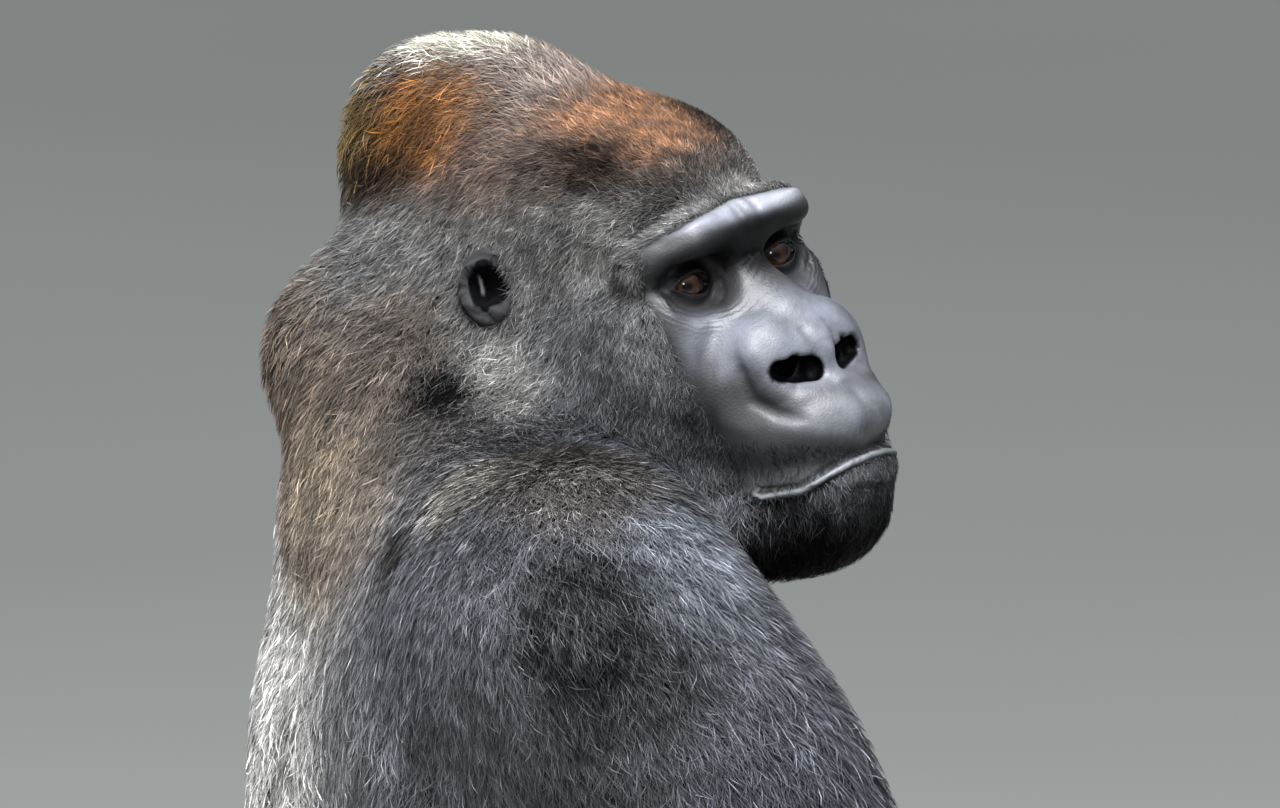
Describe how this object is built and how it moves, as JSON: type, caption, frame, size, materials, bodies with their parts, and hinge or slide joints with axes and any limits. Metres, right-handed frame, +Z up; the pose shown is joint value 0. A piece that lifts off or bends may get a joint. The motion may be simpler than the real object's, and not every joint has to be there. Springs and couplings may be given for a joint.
{
  "type": "gorilla figure",
  "caption": "Life-size seated adult male gorilla, resting on its seat, feet and knuckles, looking back over its right shoulder.",
  "frame": {"origin": "on the floor, under the centre of the whole body's box", "axes": "+Z up, -Y the way the chest faces, +X the animal's left; the head is turned about 60 degrees to its right"},
  "size_m": [0.8608, 0.754, 1.0606],
  "materials": {
    "coat": "dense black-grey hair with pale flecked tips",
    "saddle": "short brownish-grey to silver hair of the back",
    "crown": "rust-brown crown hair",
    "bare_skin": "bare slate-black skin with a satin sheen",
    "eye": "wet amber-brown eye"
  },
  "bodies": {
    "root": {"belly": "saddle", "chest": "saddle", "ear_left": "bare_skin", "ear_right": "bare_skin", "eye_left": "eye", "eye_right": "eye", "finger_index_left": "bare_skin", "finger_index_right": "bare_skin", "finger_little_left": "bare_skin", "finger_little_right": "bare_skin", "finger_middle_left": "bare_skin", "finger_middle_right": "bare_skin", "finger_ring_left": "bare_skin", "finger_ring_right": "bare_skin", "foot_left": "bare_skin", "foot_right": "bare_skin", "forearm_left": "coat", "forearm_right": "coat", "hand_left": "bare_skin", "hand_right": "bare_skin", "head": "crown", "jaw": "bare_skin", "neck": "coat", "pelvis": "coat", "shin_left": "coat", "shin_right": "coat", "thigh_left": "coat", "thigh_right": "coat", "thumb_left": "bare_skin", "thumb_right": "bare_skin", "toe_1_left": "bare_skin", "toe_1_right": "bare_skin", "toe_2_left": "bare_skin", "toe_2_right": "bare_skin", "toe_3_left": "bare_skin", "toe_3_right": "bare_skin", "toe_4_left": "bare_skin", "toe_4_right": "bare_skin", "toe_5_left": "bare_skin", "toe_5_right": "bare_skin", "upper_arm_left": "coat", "upper_arm_right": "coat"}
  },
  "joints": []
}
